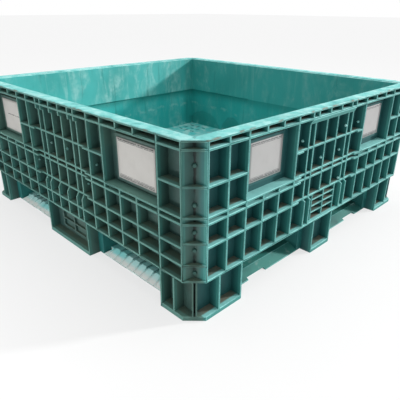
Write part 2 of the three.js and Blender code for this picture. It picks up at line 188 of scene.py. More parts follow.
class ShaderGraph:
    """Node tree of a material or world, built by calls that return signals."""

    def __init__(self, owner: Union[bpy.types.Material, bpy.types.World]) -> None:
        """Empties the node tree of a material or world."""
        self.owner = owner
        owner.use_nodes = True
        self.tree = owner.node_tree
        self.tree.nodes.clear()

    @classmethod
    def material(cls, name: str) -> "ShaderGraph":
        """Graph of a new material."""
        return cls(bpy.data.materials.new(name))

    def node(self, kind: str, settings: dict | None = None, sockets: dict | None = None) -> bpy.types.Node:
        """Adds a node, sets its options and then its sockets.

        Args:
            kind: Node type.
            settings: Options by name, set before the sockets.
            sockets: Values or signals by socket name or number.

        Returns:
            The new node.
        """
        node = self.tree.nodes.new(kind)
        for key, value in (settings or {}).items():
            setattr(node, key, value)
        for key, value in (sockets or {}).items():
            if isinstance(value, Signal):
                self.tree.links.new(value.socket, node.inputs[key])
            else:
                node.inputs[key].default_value = value
        return node

    def signal(self, kind: str, settings: dict | None = None, sockets: dict | None = None,
               output: int | str = 0) -> Signal:
        """Adds a node and returns one of its outputs."""
        return Signal(self, self.node(kind, settings, sockets).outputs[output])

    def math(self, operation: str, first: Number, second: Number = 0.0) -> Signal:
        """One step of arithmetic."""
        return self.signal("ShaderNodeMath", {"operation": operation}, {0: first, 1: second})

    def mix(self, first: Union[Colour, Signal], second: Union[Colour, Signal], share: Number) -> Signal:
        """Colour between two colours.

        Args:
            first: Colour at share 0.
            second: Colour at share 1.
            share: How much of the second colour shows.

        Returns:
            The mixed colour.
        """
        settings = {"data_type": "RGBA", "clamp_factor": True}
        return self.signal("ShaderNodeMix", settings, {0: share, 6: first, 7: second}, output=2)

    def place(self) -> Signal:
        """Position on the piece in metres."""
        return self.signal("ShaderNodeTexCoord", output="Object")

    def split(self, vector: Signal) -> tuple[Signal, Signal, Signal]:
        """The three parts of a vector."""
        node = self.node("ShaderNodeSeparateXYZ", sockets={"Vector": vector})
        return tuple(Signal(self, node.outputs[i]) for i in range(3))

    def stretched(self, vector: Signal, scale: Point) -> Signal:
        """A vector scaled differently along each axis."""
        return self.signal("ShaderNodeMapping", sockets={"Vector": vector, "Scale": scale})

    def noise(self, vector: Signal, scale: float, detail: float = 3.0, roughness: float = 0.55,
              distortion: float = 0.0) -> Signal:
        """Cloudy noise between 0 and 1.

        Args:
            vector: Position the noise is read at.
            scale: Patches per metre.
            detail: Number of finer layers.
            roughness: Weight of the finer layers.
            distortion: How far the patches are warped.

        Returns:
            The noise value.
        """
        sockets = {"Vector": vector, "Scale": scale, "Detail": detail, "Roughness": roughness,
                   "Distortion": distortion}
        return self.signal("ShaderNodeTexNoise", sockets=sockets)

    def attribute(self, name: str) -> Signal:
        """A value kept on the mesh by name."""
        return self.signal("ShaderNodeAttribute", {"attribute_name": name}, output="Fac")

    def seen(self) -> Signal:
        """1 where the camera looks, also by way of a mirror or through glass."""
        rays = self.node("ShaderNodeLightPath")
        names = ("Is Camera Ray", "Is Glossy Ray", "Is Transmission Ray")
        camera, glossy, through = (Signal(self, rays.outputs[name]) for name in names)
        return camera.most(glossy).most(through)

    def finish(self, colour: Signal, roughness: Number, height: Signal, relief: float,
               specular: float = 0.5) -> bpy.types.Material:
        """Closes the graph with a plastic or paper surface.

        Args:
            colour: Base colour.
            roughness: Roughness.
            height: Height map for the bump.
            relief: Height of the bump in metres.
            specular: Level of the mirror part.

        Returns:
            The finished material.
        """
        bump = self.signal("ShaderNodeBump", output="Normal",
                           sockets={"Height": height, "Distance": relief, "Strength": 0.8})
        sockets = {"Base Color": colour, "Roughness": roughness, "Normal": bump,
                   "Specular IOR Level": specular}
        surface = self.signal("ShaderNodeBsdfPrincipled", sockets=sockets)
        self.node("ShaderNodeOutputMaterial", sockets={"Surface": surface})
        return self.owner


# Finishes


class TubSurface:
    """Signals that describe a point on the tub, shared by the tub's colours.

    Attributes:
        graph: Graph of the material.
        place: Place of the point, also split into x, y and z.
        depth_x: Depth behind the outer planes of the short walls.
        depth_y: Depth behind the outer planes of the long walls.
        depth: The smaller of the two.
        upward: 1 where the surface faces up.
        outward: 1 where the surface faces sideways.
        rim: 1 at the top of the tub.
        front: 1 on the long wall away from the key light, which is painted dustier and with painted shade.
        clouds: Large patches.
        patches: Middle patches.
        grain: Fine grain.
        streaks: Upright streaks.
        edge: 1 on rounded edges.
    """

    def __init__(self, graph: ShaderGraph) -> None:
        """Reads the point's place, direction and noises.

        Args:
            graph: Graph of the material.
        """
        self.graph = graph
        self.place = graph.place()
        self.x, self.y, self.z = graph.split(self.place)
        across, along, up = graph.split(graph.signal("ShaderNodeTexCoord", output="Normal"))
        self.depth_x = TUB.half_length - abs(self.x)
        self.depth_y = TUB.half_width - abs(self.y)
        self.depth = self.depth_x.least(self.depth_y)
        self.upward = up.rise(0.45, 0.8)
        self.outward = abs(across).most(abs(along)).rise(0.6, 0.9)
        self.rim = self.z.rise(TUB.height - 4.5 * MM, TUB.height - 3 * MM)
        self.front = (0.0 - self.y).rise(TUB.half_width - 40 * MM, TUB.half_width - 35 * MM)
        self.clouds = graph.noise(self.place, 4.0, 4.0)
        self.patches = graph.noise(self.place, 26.0, 5.0, 0.6)
        self.grain = graph.noise(self.place, 260.0, 3.0, 0.6)
        self.streaks = graph.noise(graph.stretched(self.place, (34.0, 34.0, 3.2)), 1.0, 5.0, 0.62, 0.4)
        self.edge = graph.attribute("edge")


@dataclass(frozen=True)
class ShadowArch:
    """A painted shadow arch above the floor, on the inside of the back wall.

    Attributes:
        centre: Its middle along the length.
        half_wide: Half of its width.
        share: How dark it is.
        level: Height of its widest part.
        half_tall: Its rise above that height.
    """

    centre: float
    half_wide: float
    share: float
    level: float = 105 * MM
    half_tall: float = 90.55 * MM


@dataclass(frozen=True)
class TubFinish:
    """Worn and dusty teal plastic of the tub, with painted shade and painted highlights."""

    deep: Colour = paint(22, 92, 92)
    mid: Colour = paint(50, 132, 128)
    # Painted shade deep in the cells of the ribbed outside
    cell_shade: Colour = paint(12, 66, 72)
    rib_face: Colour = paint(76, 158, 150)
    film: Colour = paint(92, 130, 118)
    dust: Colour = paint(112, 112, 98)
    dust_green: Colour = paint(84, 108, 94)
    # Near black for painted shade in the corner creases, on the front wall and round the shadow arches
    shade_dark: Colour = paint(18, 30, 28)
    # Wear on the outer lips and edges together with a painted highlight, and a copy darkened as painted
    # shade for the front wall
    worn: Colour = paint(150, 222, 218)
    worn_shaded: Colour = paint(112, 160, 148)
    rim: Colour = paint(104, 194, 190)
    rim_pale: Colour = paint(168, 222, 218)
    # Tones of the inside above and below its step, set apart to paint the light and shade on either side of
    # the step
    inner_upper: Colour = paint(76, 178, 175)
    inner_lower: Colour = paint(54, 184, 182)
    inner_pale: Colour = paint(176, 216, 212)
    inner_deep: Colour = paint(30, 122, 116)
    # The shelves below the cards, painted brighter and with less dust
    shelf_margin: float = 28 * MM
    shelf_drop: float = 40 * MM
    shelf_half: float = 36 * MM
    shelf_soft: float = 4 * MM
    # The long wavy scuff line round the inside, below its step
    line_level: float = 262 * MM
    line_wander: float = 110 * MM
    line_slope: float = 0.05
    arches: Sequence[ShadowArch] = (
        ShadowArch(-475 * MM, 114.9 * MM, 0.5),
        ShadowArch(-270 * MM, 72.1 * MM, 0.6),
    )

    def build(self) -> bpy.types.Material:
        """Makes the material of the tub.

        Returns:
            The material.
        """
        graph = ShaderGraph.material("tub_plastic")
        at = TubSurface(graph)
        inside = at.z.rise(TUB.floor_under + 1 * MM, TUB.floor_top - 2 * MM)
        outside = at.depth.fall(TUB.cell_depth + 1.5 * MM, TUB.cell_depth + 4.5 * MM)
        under = graph.mix(self.deep, self.mid, at.patches)
        colour = graph.mix(under, self._inner_colour(at), inside)
        colour = graph.mix(colour, self._outer_colour(at), outside)
        colour = self._rim_colour(at, colour)
        # Painted shade in the upright creases behind the corner chamfers
        colour = graph.mix(colour, self.shade_dark, self._corner_crease(at))
        roughness = 0.46 + 0.2 * at.patches + 0.2 * (at.upward * outside)
        height = at.grain * 0.4 + at.patches * 0.8 + at.streaks * 0.6
        return graph.finish(colour, roughness, height, 0.5 * MM, 0.42)

    def _card_shelf(self, along: Signal, z: Signal, beside: Signal, node: str) -> Signal:
        """The shelves below the cards of two opposite walls, painted brighter and with less dust.

        Args:
            along: Place along the walls.
            z: Height.
            beside: Above 0 on these two walls.
            node: A card of these walls.

        Returns:
            1 around their shelves.
        """
        low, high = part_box(node)
        axis = 0 if high[0] - low[0] > high[1] - low[1] else 1
        centre = abs(low[axis] + high[axis]) / 2
        reach = (high[axis] - low[axis]) / 2 + self.shelf_margin
        sideways = abs(along).near(centre, reach, self.shelf_soft)
        upright = z.near(low[2] - self.shelf_drop, self.shelf_half, self.shelf_soft)
        return sideways * upright * beside.rise(0.0, 1 * MM)

    def _outer_colour(self, at: TubSurface) -> Signal:
        """Colour of the ribbed outside: dusty shelves, worn edges, painted shade in the cells and on the
        front wall, painted highlights on lips and edges.

        Args:
            at: Signals of the point.

        Returns:
            The colour.
        """
        mix = at.graph.mix
        patches = at.patches
        front = at.front
        right_shelf = self._card_shelf(at.y, at.z, at.depth_y - at.depth_x, "label_right_a")
        front_shelf = self._card_shelf(at.x, at.z, at.depth_x - at.depth_y, "label_front_a")
        shelf = right_shelf.most(front_shelf)

        colour = mix(self.deep, self.mid, at.clouds.rise(0.3, 0.7) * 0.6 + patches * 0.4)
        # Painted shade, growing deeper into the cells
        back = at.depth.rise(8 * MM, 33 * MM)
        colour = mix(colour, self.cell_shade, back * (0.5 + 0.4 * patches))
        film = front * (0.3 + 0.5 * at.clouds.rise(0.35, 0.65)) + 0.12 * patches
        colour = mix(colour, self.film, film)
        # Painted shade over the front wall, heaviest at the cell backs
        colour = mix(colour, self.shade_dark, front * (0.3 + 0.5 * back * patches))
        # Outer rib faces lighter than the shaded cells, less so on the front wall: painted light and shade
        face = at.outward * at.depth.fall(TUB.face_depth, TUB.face_depth + 3 * MM)
        colour = mix(colour, self.rib_face, face * (0.65 - 0.3 * front) * (0.5 + 0.5 * patches))

        level = at.upward * (1.0 - at.rim)
        dusty = level * at.depth.rise(TUB.face_depth, TUB.face_depth + 6 * MM) * (1.0 - 0.8 * shelf)
        dust = mix(self.dust, self.dust_green, front * 0.8)
        colour = mix(colour, dust, dusty * (0.35 + 0.6 * patches.rise(0.3, 0.6)))

        # Up-facing outer lips, card shelves and rounded edges: wear with a painted highlight, dulled on the
        # front wall as painted shade
        outermost = at.depth.fall(TUB.face_depth + 1 * MM, TUB.face_depth + 7 * MM)
        lit_lip = level * outermost.most(shelf)
        worn_and_lit = mix(self.worn, self.worn_shaded, front)
        cover = (1.0 - 0.5 * front * (1.0 - shelf)) * (0.55 + 0.45 * patches)
        colour = mix(colour, worn_and_lit, lit_lip * cover)
        rub = at.edge * (0.35 + 0.6 * (patches * 0.5 + at.grain * 0.5).rise(0.35, 0.6))
        return mix(colour, worn_and_lit, rub * outermost * (0.75 - 0.2 * front))

    def _inner_colour(self, at: TubSurface) -> Signal:
        """Colour of the smooth inside, with scuffs and streaks, and painted shade below its step, on the
        back wall and in two arches.

        Args:
            at: Signals of the point.

        Returns:
            The colour.
        """
        mix = at.graph.mix
        patches = at.patches
        z = at.z
        step = z.rise(TUB.step_height - 3 * MM, TUB.step_height + 1 * MM)
        # Two tones above and below the step, set to paint the light and shade on either side
        colour = mix(self.inner_lower, self.inner_upper, step)
        colour = mix(colour, self.inner_deep, at.clouds.fall(0.35, 0.6) * 0.3)
        flow = at.graph.noise(at.graph.stretched(at.place, (11.0, 11.0, 4.5)), 1.0, 6.0, 0.68, 0.8)
        bloom = flow.rise(0.45, 0.7) * (0.3 + 0.7 * patches.rise(0.35, 0.65))
        scuff = bloom * 0.7 + at.streaks.rise(0.55, 0.75) * 0.3
        colour = mix(colour, self.inner_pale, scuff * (0.5 + 0.5 * step))
        colour = mix(colour, self.inner_deep, at.streaks.fall(0.3, 0.42) * 0.45)
        shade = z.rise(TUB.step_height - 50 * MM, TUB.step_height) * (1.0 - step)
        colour = mix(colour, self.inner_deep, shade * 0.7)

        wandering = z + at.clouds * self.line_wander + at.x * self.line_slope
        line = wandering.near(self.line_level, 2 * MM, 9 * MM) * (1.0 - step)
        colour = mix(colour, self.inner_pale, line * patches.rise(0.45, 0.62) * 0.4)
        for arch in self.arches:
            colour = self._arch_colour(at, colour, arch)
        # Painted shade on the inside of the back wall
        back_wall_shade = at.y.rise(TUB.half_width - 120 * MM, TUB.half_width - 80 * MM)
        colour = mix(colour, self.inner_deep, back_wall_shade * 0.42)

        low = z.fall(TUB.floor_top + 2 * MM, TUB.floor_top + 30 * MM) * (1.0 - at.upward)
        colour = mix(colour, self.inner_pale, low * patches.rise(0.5, 0.7) * 0.5)
        floor = at.upward * z.fall(200 * MM, 220 * MM)
        scraped = patches.rise(0.35, 0.7) * 0.8 + at.grain * 0.15
        return mix(colour, mix(self.inner_lower, self.inner_pale, scraped), floor)

    def _arch_colour(self, at: TubSurface, colour: Signal, arch: ShadowArch) -> Signal:
        """Lays one painted shadow arch with a darker outline over the inside.

        Args:
            at: Signals of the point.
            colour: Colour below it.
            arch: The arch.

        Returns:
            The colour with the arch over it.
        """
        sideways = at.x - arch.centre
        upright = at.z - arch.level
        distance = sideways * sideways / arch.half_wide ** 2 + upright * upright / arch.half_tall ** 2
        ragged = distance + at.patches * 0.5 - 0.25
        wall = at.y.rise(TUB.half_width - 80 * MM, TUB.half_width - 50 * MM)
        colour = at.graph.mix(colour, self.inner_deep, ragged.fall(0.7, 1.2) * wall * arch.share)
        outline = ragged.near(1.0, 0.02, 0.16) * wall * at.streaks
        return at.graph.mix(colour, self.shade_dark, outline * 0.4)

    def _rim_colour(self, at: TubSurface, colour: Signal) -> Signal:
        """Bright, rubbed top of the rim.

        Args:
            at: Signals of the point.
            colour: Colour below the rim's own.

        Returns:
            The colour with the rim's over it.
        """
        mix = at.graph.mix
        patches = at.patches
        pale = mix(self.rim, self.rim_pale, patches.rise(0.42, 0.66) * 0.8 + at.grain * 0.2)
        dull = at.clouds.fall(0.25, 0.5) * 0.35 + patches.fall(0.32, 0.44) * 0.5
        rubbed = mix(pale, self.mid, dull)
        colour = mix(colour, rubbed, at.rim * at.upward.most(at.edge * 0.8))
        nick = at.depth.fall(2 * MM, 7 * MM) * at.rim * patches.fall(0.38, 0.48)
        return mix(colour, self.dust, nick * 0.8)

    def _corner_crease(self, at: TubSurface) -> Signal:
        """Painted shade in the upright crease behind each corner chamfer.

        Args:
            at: Signals of the point.

        Returns:
            Share of painted shade.
        """
        ragged = at.patches * (12 * MM) - 5 * MM
        close_x = (abs(at.depth_x - TUB.cell_depth) - ragged).fall(1.5 * MM, 4 * MM)
        close_y = (abs(at.depth_y - TUB.cell_depth) - ragged).fall(1.5 * MM, 4 * MM)
        spread = at.graph.noise(at.graph.stretched(at.place, (2.0, 2.0, 14.0)), 1.0, 3.0)
        return close_x * close_y * spread.rise(0.38, 0.56) * 0.9


@dataclass(frozen=True)
class NubFinish:
    """Plastic of the small marks left by the mould."""

    name: str
    low: Colour
    high: Colour
    dusty: Colour = paint(52, 96, 88)

    def build(self) -> bpy.types.Material:
        """Makes the material of one kind of mark.

        Returns:
            The material.
        """
        graph = ShaderGraph.material(f"tub_{self.name}")
        place = graph.place()
        patches = graph.noise(place, 90.0, 4.0)
        grain = graph.noise(place, 400.0, 2.0)
        colour = graph.mix(self.low, self.high, patches.rise(0.3, 0.65))
        # On the front wall the marks turn a dusty teal, as dust and as painted shade
        front = (0.0 - graph.split(place)[1]).rise(TUB.half_width - 50 * MM, TUB.half_width - 32 * MM)
        colour = graph.mix(colour, self.dusty, front * 0.8)
        return graph.finish(colour, 0.4 + 0.25 * patches, grain, 0.3 * MM, 0.45)


@dataclass(frozen=True)
class RunnerFinish:
    """Scuffed plastic of the bottom runners, the long ones painted near white as painted light."""

    # Colours of the long runners, painted near white for the light on them; the scuff colour also marks
    # real scuffs on the short ones
    base: Colour = paint(150, 238, 236)
    bright: Colour = paint(214, 252, 250)
    scuff_and_light: Colour = paint(250, 250, 246)
    edge: Colour = paint(150, 226, 222)
    pocket: Colour = paint(22, 62, 58)
    shade: Colour = paint(26, 84, 82)
    side: Colour = paint(62, 142, 132)
    groove_pitch: float = 33 * MM
    groove_centre: float = 303.5 * MM
    pocket_level: float = 20.5 * MM

    def build(self, long_wall: bool) -> bpy.types.Material:
        """Makes the material of the runners of one kind of wall.

        Args:
            long_wall: True for the runners below the long walls, painted brighter as painted light.

        Returns:
            The material.
        """
        graph = ShaderGraph.material("runner_plastic_long_lit" if long_wall else "runner_plastic_short")
        place = graph.place()
        x, _, z = graph.split(place)
        patches = graph.noise(place, 30.0, 5.0, 0.62)
        clouds = graph.noise(place, 7.0, 3.0)
        grain = graph.noise(place, 240.0, 3.0)
        edge = graph.attribute("edge")
        if long_wall:
            # Painted light: near white, brightest low down
            colour = graph.mix(self.base, self.bright, clouds.rise(0.3, 0.6))
            low = (z + patches * (8 * MM)).fall(12 * MM, 19 * MM)
            colour = graph.mix(colour, self.scuff_and_light, low * 0.85)
            turn = graph.math("PINGPONG", abs(x) - self.groove_centre, self.groove_pitch / 2)
            groove = turn.fall(2.6 * MM, 4.2 * MM) * z.rise(7 * MM, 15 * MM)
            colour = graph.mix(colour, self.shade, groove * (0.05 + 0.3 * clouds))
            mouth = (turn + patches * (4 * MM)).fall(5.5 * MM, 8.5 * MM)
            pocket = mouth * z.near(self.pocket_level, 1.2 * MM, 1.2 * MM)
            colour = graph.mix(colour, self.pocket, pocket * 0.85)
        else:
            colour = graph.mix(self.shade, self.side, clouds.rise(0.2, 0.6))
            colour = graph.mix(colour, self.scuff_and_light, patches.rise(0.56, 0.75) * 0.2)
        colour = graph.mix(colour, self.edge, edge * (0.25 + 0.4 * patches))
        return graph.finish(colour, 0.5 + 0.2 * patches, patches + 0.4 * grain, 0.6 * MM, 0.42)


class Print(Enum):
    """Where the ruled lines of a label card are."""

    EDGES = "edges"
    MIDDLE = "middle"


@dataclass(frozen=True)
class Rule:
    """One ruled line across a card.

    Attributes:
        level: Height of its middle above the card's lower edge.
        half: Half of its thickness.
    """

    level: float
    half: float


@dataclass(frozen=True)
class CardFinish:
    """Printed card with thin ruled lines and light handling marks."""

    paper: Colour = paint(190, 188, 184)
    handled: Colour = paint(174, 171, 167)
    edge: Colour = paint(120, 128, 126)
    ink: Colour = paint(46, 48, 52)
    blur: float = 0.4 * MM
    dash_pitch: float = 3.8 * MM

    def build(self, printed: Print, wide: float, tall: float) -> bpy.types.Material:
        """Makes the material of one kind of card.

        Args:
            printed: Where its lines are.
            wide: Width of the card.
            tall: Height of the card.

        Returns:
            The material.
        """
        graph = ShaderGraph.material(f"card_{printed.value}_{round(wide / MM)}")
        flat = graph.signal("ShaderNodeTexCoord", output="UV")
        across, high, _ = graph.split(flat)
        clouds = graph.noise(flat, 16.0, 4.0)
        fibre = graph.noise(flat, 420.0, 2.0)
        colour = graph.mix(self.paper, self.handled, clouds.rise(0.4, 0.75) * 0.4)
        ticks = graph.math("PINGPONG", across + high * 0.37, self.dash_pitch / 2)
        gaps = graph.noise(graph.stretched(flat, (120.0, 90.0, 1.0)), 1.0, 1.0)
        dashes = ticks.rise(0.25 * MM, 0.7 * MM) * gaps.rise(0.36, 0.4)
        if printed is Print.EDGES:
            rules = [
                Rule(tall - 5.5 * MM, 1.5 * MM), Rule(tall - 9.5 * MM, 0.6 * MM),
                Rule(12.5 * MM, 0.5 * MM), Rule(9 * MM, 1.0 * MM), Rule(5 * MM, 1.2 * MM),
            ]
            margin = across.rise(5 * MM, 6 * MM) * across.fall(wide - 7 * MM, wide - 6 * MM)
        else:
            rules = [Rule(tall * 0.52, 1.4 * MM)]
            margin = across.rise(wide * 0.2, wide * 0.22) * across.fall(wide * 0.78, wide * 0.8)
        lines = [high.near(rule.level, rule.half, self.blur) for rule in rules]
        printing = lines[0]
        for line in lines[1:]:
            printing = printing.most(line)
        colour = graph.mix(colour, self.ink, printing * margin * dashes)
        rim = across.least(wide - across).least(high).least(tall - high).fall(0.4 * MM, 2.2 * MM)
        colour = graph.mix(colour, self.edge, rim * 0.8)
        return graph.finish(colour, 0.55 + 0.2 * clouds, fibre + clouds, 0.12 * MM, 0.4)


# Mesh helpers


@dataclass(frozen=True)
class EdgeRounding:
    """How the sharp edges of a moulding are rounded."""

    radius: float = 1.6 * MM
    segments: int = 2
    sharp: float = math.radians(25)
    shortest: float = 2.2 * MM


def keep_piece(mesh: bmesh.types.BMesh, name: str,
               material: bpy.types.Material) -> bpy.types.Object:
    """Turns a bmesh into a piece that rides on the container.

    Args:
        mesh: The shape, freed afterwards.
        name: Name of the piece.
        material: Its material.

    Returns:
        The new object, at the origin.
    """
    data = bpy.data.meshes.new(name)
    mesh.to_mesh(data)
    mesh.free()
    data.materials.append(material)
    piece = bpy.data.objects.new(name, data)
    bpy.context.scene.collection.objects.link(piece)
    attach(piece, BODY)
    LOG.info("%s: %d faces", name, len(data.polygons))
    return piece


def merged_copy(node: str, divided: bool = False) -> bmesh.types.BMesh:
    """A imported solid's mesh with its triangles joined into flat faces.

    Args:
        node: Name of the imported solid.
        divided: True if its ribbed walls are divided along their ribs first.

    Returns:
        The joined mesh.
    """
    mesh = bmesh.new()
    mesh.from_mesh(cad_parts[node].data)
    bmesh.ops.remove_doubles(mesh, verts=mesh.verts, dist=WELD)
    if divided:
        for axis in (0, 1):
            for side in (-1, 1):
                divide_wall(mesh, axis, side)
    bmesh.ops.dissolve_limit(mesh, angle_limit=math.radians(1), verts=mesh.verts, edges=mesh.edges,
                             delimit={"SEAM"})
    bmesh.ops.connect_verts_concave(mesh, faces=mesh.faces)
    return mesh


def divide_wall(mesh: bmesh.types.BMesh, axis: int, side: int) -> None:
    """Cuts the outward faces of one wall along its ribs, so that none has a hole.

    Args:
        mesh: The tub.
        axis: Axis across the wall, 0 for X and 1 for Y.
        side: Which end of that axis.
    """
    half = (TUB.half_length, TUB.half_width)[axis]

    def outward(face: bmesh.types.BMFace) -> bool:
        """True for a face in one of the wall's outer planes."""
        depth = half - side * face.calc_center_median()[axis]
        return face.normal[axis] * side > 0.99 and depth < TUB.face_depth

    faces = [face for face in mesh.faces if outward(face)]
    sharp = {edge for face in faces for edge in face.edges if edge.calc_face_angle(0.0) > 0.3}
    for direction in (1 - axis, 2):
        step = Vector((0, 0, 0))
        step[direction] = 1.0
        cuts = {
            round(edge.verts[0].co[direction] / (CUT_GRID * MM)) for edge in sharp
            if abs(edge.verts[0].co[direction] - edge.verts[1].co[direction]) < WELD
        }
        geometry = [*faces, *{edge for face in faces for edge in face.edges},
                    *{vert for face in faces for vert in face.verts}]
        for cut in sorted(cuts):
            made = bmesh.ops.bisect_plane(mesh, geom=geometry, dist=CUT_REACH,
                                          plane_co=step * cut * CUT_GRID * MM, plane_no=step)
            geometry = made["geom"]
            for item in made["geom_cut"]:
                if isinstance(item, bmesh.types.BMEdge):
                    item.seam = True
        faces = [item for item in geometry if isinstance(item, bmesh.types.BMFace)]


def round_edges(mesh: bmesh.types.BMesh, rounding: EdgeRounding) -> None:
    """Rounds the sharp outer edges and marks the new faces as edge.

    Args:
        mesh: The shape.
        rounding: How its edges are rounded.
    """
    mark = mesh.loops.layers.float.new("edge")
    sharp = [
        edge for edge in mesh.edges
        if edge.is_manifold and edge.is_convex and edge.calc_face_angle(0.0) > rounding.sharp
        and edge.calc_length() > rounding.shortest
    ]
    made = bmesh.ops.bevel(
        mesh, geom=sharp, offset=rounding.radius, offset_type="OFFSET", affect="EDGES",
        segments=rounding.segments, profile=0.5, material=-1, clamp_overlap=False,
    )
    for face in made["faces"]:
        face.smooth = True
        for loop in face.loops:
            loop[mark] = 1.0


# Pieces


@dataclass
class TubShell:
    """The moulded tub with its rounded ribs and its ragged rim.

    Attributes:
        finish: Plastic of the tub.
        pin_highlight_finish: Plastic of the ejector marks, painted bright as their highlights.
        gate_finish: Plastic of the gate stubs.
        rounding: Rounding of the tub's outer edges.
        nick_pitch: Length of rim between two places that wear by themselves.
        nick_depth: Deepest wear of the rim.
        nick_fine: Narrow nicks per metre.
        nick_wide: Wide nicks per metre.
        pin_radius: Radius of an ejector mark at its foot.
        pin_taper: Radius of its top as a share of that.
        pin_height: Its length.
        pin_sunk: How far its foot is inside the rib.
        pin_dome: Rounding of its top.
        long_pins: Ejector marks of a long wall in mm: along it, behind its outer plane, height.
        short_pins: The same for a short wall.
        gate_foot: Radius of a gate stub at its foot.
        gate_top: Radius of its top.
        gate_length: Its length.
        gate_sunk: How far its foot is inside the tub.
        gate_torn: How uneven its top is.
        gate_grain: Bumps per metre of its top.
        gate_heights: Heights of the gate stubs in mm.
    """

    finish: TubFinish = TubFinish()
    # Ejector mark colours painted bright, standing in for the highlights on their domes
    pin_highlight_finish: NubFinish = NubFinish("pins", paint(96, 190, 186), paint(186, 238, 234))
    gate_finish: NubFinish = NubFinish("gates", paint(20, 44, 44), paint(46, 88, 84))
    rounding: EdgeRounding = EdgeRounding()
    nick_pitch: float = 11 * MM
    nick_depth: float = 1.5 * MM
    nick_fine: float = 60.0
    nick_wide: float = 23.0
    pin_radius: float = 4.6 * MM
    pin_taper: float = 0.82
    pin_height: float = 5.5 * MM
    pin_sunk: float = 0.5 * MM
    pin_dome: float = 2.4 * MM
    long_pins: Sequence[Point] = (
        (-82, 23, 327.5), (30.6, 17.6, 334), (118.4, 27.5, 361), (-82, 23.4, 291), (30.6, 20.4, 292.5),
        (-181.7, 18, 248), (118.4, 28, 240.5), (186.7, 21.3, 320.5),
    )
    short_pins: Sequence[Point] = (
        (-124.7, 28, 385.5), (91.4, 13, 396), (188.6, 20.5, 390), (-33.8, 15.7, 320), (91.4, 24.6, 315),
        (91.4, 14, 221),
    )
    gate_foot: float = 6.5 * MM
    gate_top: float = 4.5 * MM
    gate_length: float = 9 * MM
    gate_sunk: float = 3 * MM
    gate_torn: float = 2.5 * MM
    gate_grain: float = 140.0
    gate_heights: Sequence[float] = (414, 318, 248, 199, 136)

    def build(self) -> None:
        """Builds the shell and its small mouldings."""
        material = self.finish.build()
        shell = keep_piece(self._shell(), "tub_shell", material)
        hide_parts("tub")
        keep_piece(self._pins(), "tub_ejector_pins", self.pin_highlight_finish.build())
        keep_piece(self._gates(), "tub_gate_marks", self.gate_finish.build())

    def _shell(self) -> bmesh.types.BMesh:
        """The tub with a ragged rim and rounded edges."""
        mesh = merged_copy("tub", divided=True)
        self._nick_rim(mesh)
        round_edges(mesh, self.rounding)
        return mesh

    def _nick_rim(self, mesh: bmesh.types.BMesh) -> None:
        """Divides the outer edge of the rim and wears it away unevenly."""
        def on_plane(vert: bmesh.types.BMVert, axis: int) -> bool:
            """True in one of the two outer planes across an axis."""
            return (TUB.half_length, TUB.half_width)[axis] - abs(vert.co[axis]) < ON_PLANE

        def outermost(vert: bmesh.types.BMVert) -> bool:
            """True on the rim's outer edge."""
            return vert.co.z > TUB.height - ON_PLANE and (on_plane(vert, 0) or on_plane(vert, 1))

        for edge in [edge for edge in mesh.edges if all(outermost(vert) for vert in edge.verts)]:
            cuts = int(edge.calc_length() / self.nick_pitch)
            if cuts:
                bmesh.ops.bisect_edges(mesh, edges=[edge], cuts=cuts)
        for vert in mesh.verts:
            if not outermost(vert) or len(vert.link_edges) > 2:
                continue
            wear = noise.noise(vert.co * self.nick_fine) * 0.6 + noise.noise(vert.co * self.nick_wide) * 0.7
            inward = max(0.0, min(1.0, wear + 0.25)) * self.nick_depth
            axis = 0 if on_plane(vert, 0) else 1
            vert.co[axis] -= math.copysign(inward, vert.co[axis])
            vert.co.z -= inward * 0.6

    def _pins(self) -> bmesh.types.BMesh:
        """Small round ejector marks on the sides of the ribs near the middle of each wall."""
        mesh = bmesh.new()
        for side in (-1, 1):
            for along, depth, high in self.long_pins:
                place = Vector((-side * along * MM, side * (TUB.half_width - depth * MM), high * MM))
                self._pin(mesh, place, Vector((-side, 0, 0)))
            for along, depth, high in self.short_pins:
                place = Vector((side * (TUB.half_length - depth * MM), side * along * MM, high * MM))
                self._pin(mesh, place, Vector((0, -side, 0)))
        for face in mesh.faces:
            face.smooth = True
        return mesh

    def _pin(self, mesh: bmesh.types.BMesh, place: Vector, outward: Vector) -> None:
        """One domed pin.

        Args:
            mesh: Mesh that it is added to.
            place: Centre of its foot.
            outward: Direction that it points.
        """
        turn = outward.to_track_quat("Z", "Y").to_matrix().to_4x4()
        lift = Matrix.Translation((0, 0, self.pin_height / 2 - self.pin_sunk))
        made = bmesh.ops.create_cone(
            mesh, cap_ends=True, segments=12, radius1=self.pin_radius,
            radius2=self.pin_radius * self.pin_taper, depth=self.pin_height,
            matrix=Matrix.Translation(place) @ turn @ lift,
        )
        top = max(made["verts"], key=lambda vert: (vert.co - place).dot(outward))
        height = (top.co - place).dot(outward)
        ring = {vert for vert in made["verts"] if (vert.co - place).dot(outward) > height - ON_PLANE}
        edges = {edge for vert in ring for edge in vert.link_edges if edge.other_vert(vert) in ring}
        bmesh.ops.bevel(mesh, geom=list(edges), offset=self.pin_dome, affect="EDGES", segments=2,
                        profile=0.5, material=-1, clamp_overlap=True)

    def _gates(self) -> bmesh.types.BMesh:
        """Rough gate stubs in the creases behind the corner chamfers."""
        mesh = bmesh.new()
        for side_x in (-1, 1):
            for side_y in (-1, 1):
                outward = Vector((side_x, side_y, 0)).normalized()
                for high in self.gate_heights:
                    place = Vector((
                        side_x * (TUB.half_length - TUB.cell_depth),
                        side_y * (TUB.half_width - TUB.cell_depth),
                        high * MM,
                    ))
                    self._gate(mesh, place, outward)
        return mesh

